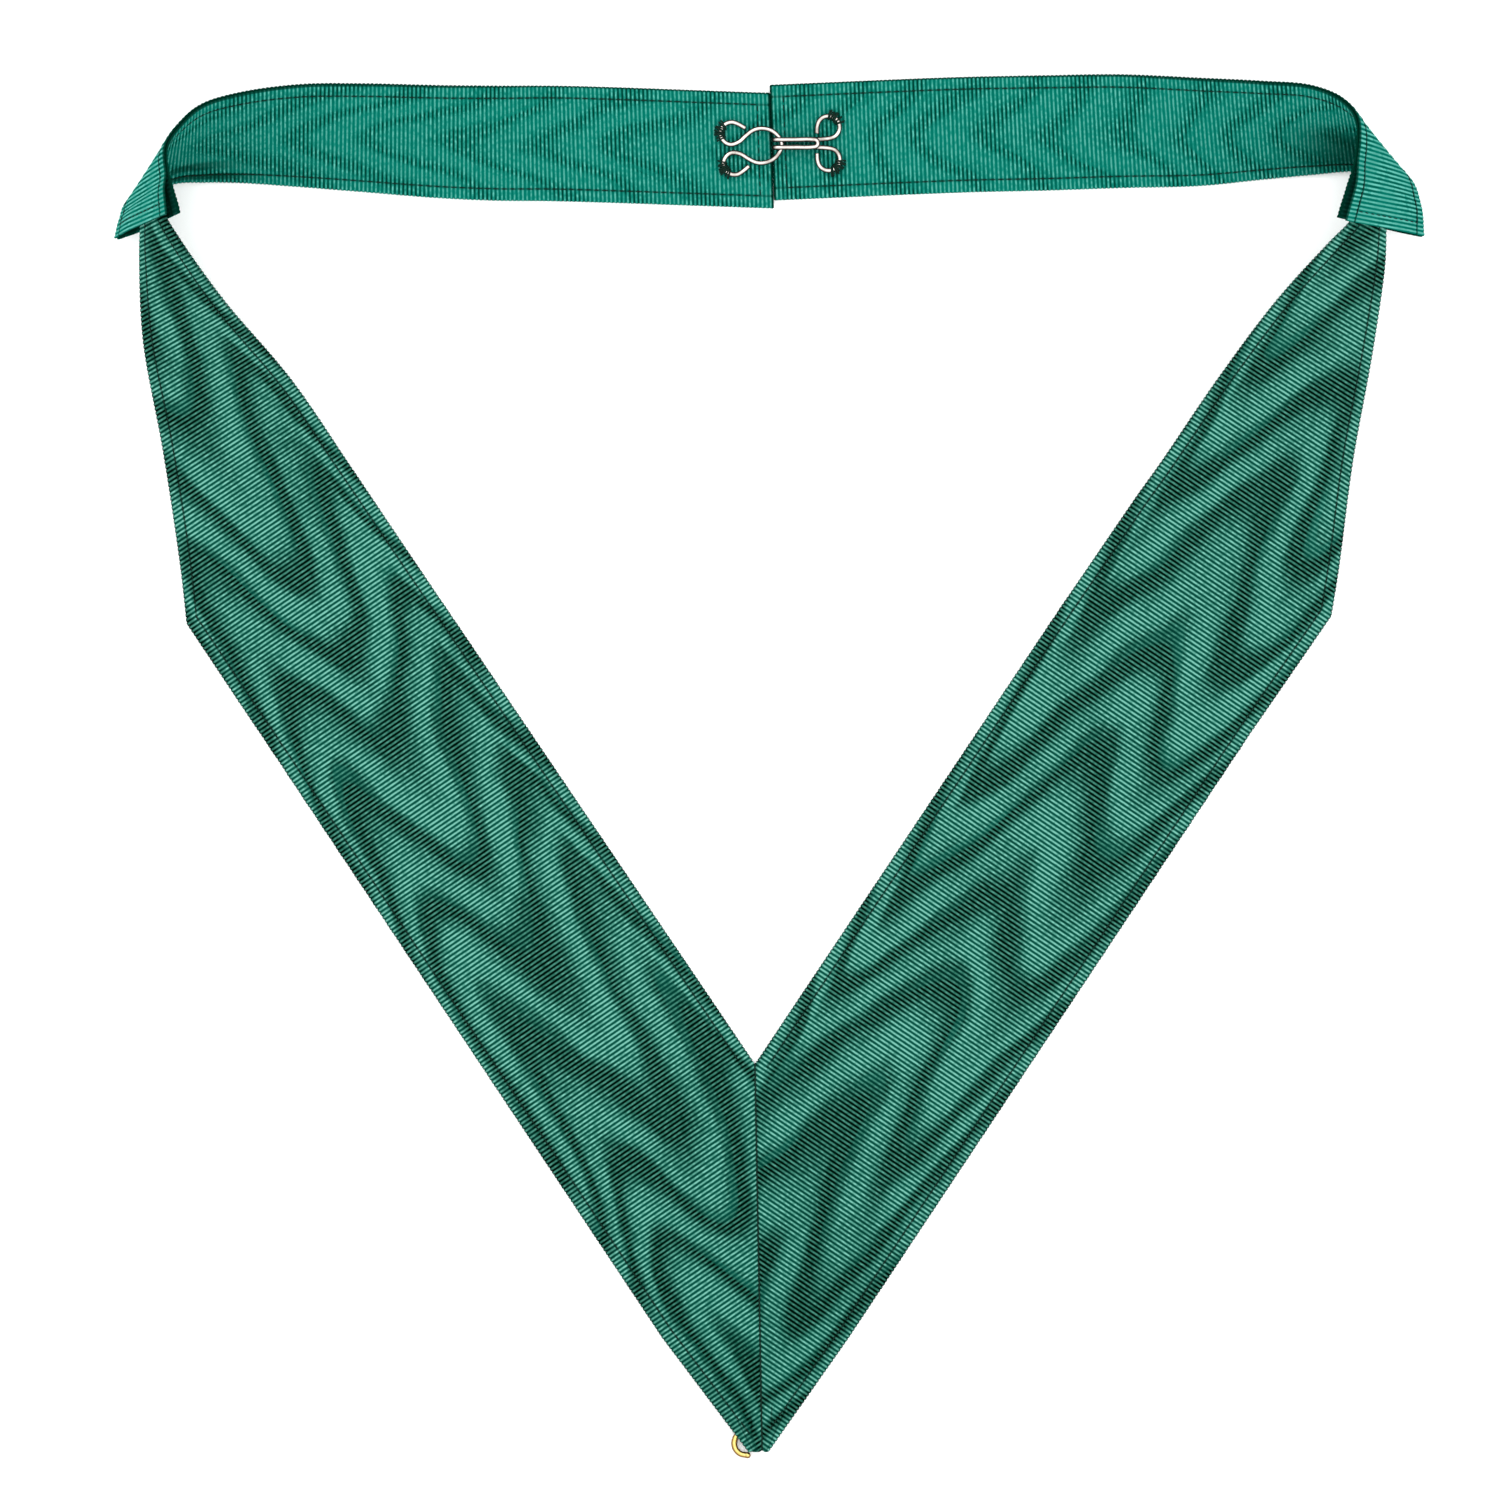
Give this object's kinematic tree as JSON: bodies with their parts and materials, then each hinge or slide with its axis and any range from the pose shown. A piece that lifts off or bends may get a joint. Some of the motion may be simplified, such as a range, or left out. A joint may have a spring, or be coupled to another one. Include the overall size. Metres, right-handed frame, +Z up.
{
  "type": "masonic collarette",
  "caption": "Ribbon collarette lying open: wide green moire straps mitred to a point, a narrow neckband joined at the back by a wire hook and eye, and a gilt jewel hook under the point.",
  "frame": {"origin": "middle of the part's box in plan, at the surface it lies on", "axes": "+Z up from the surface, +Y from the point towards the neckband, +X to the right as seen from above"},
  "size_m": [0.442, 0.4646, 0.0378],
  "materials": {
    "green_moire_ribbon": "ribbed satin with a watered figure",
    "nickel_wire": "bright nickel",
    "gilt_wire": "polished gilt"
  },
  "bodies": {
    "root": {"left_strap": "green_moire_ribbon", "right_strap": "green_moire_ribbon", "left_neckband": "green_moire_ribbon", "right_neckband": "green_moire_ribbon", "neck_eye": "nickel_wire", "neck_hook": "nickel_wire", "jewel_hook": "gilt_wire"}
  },
  "joints": []
}
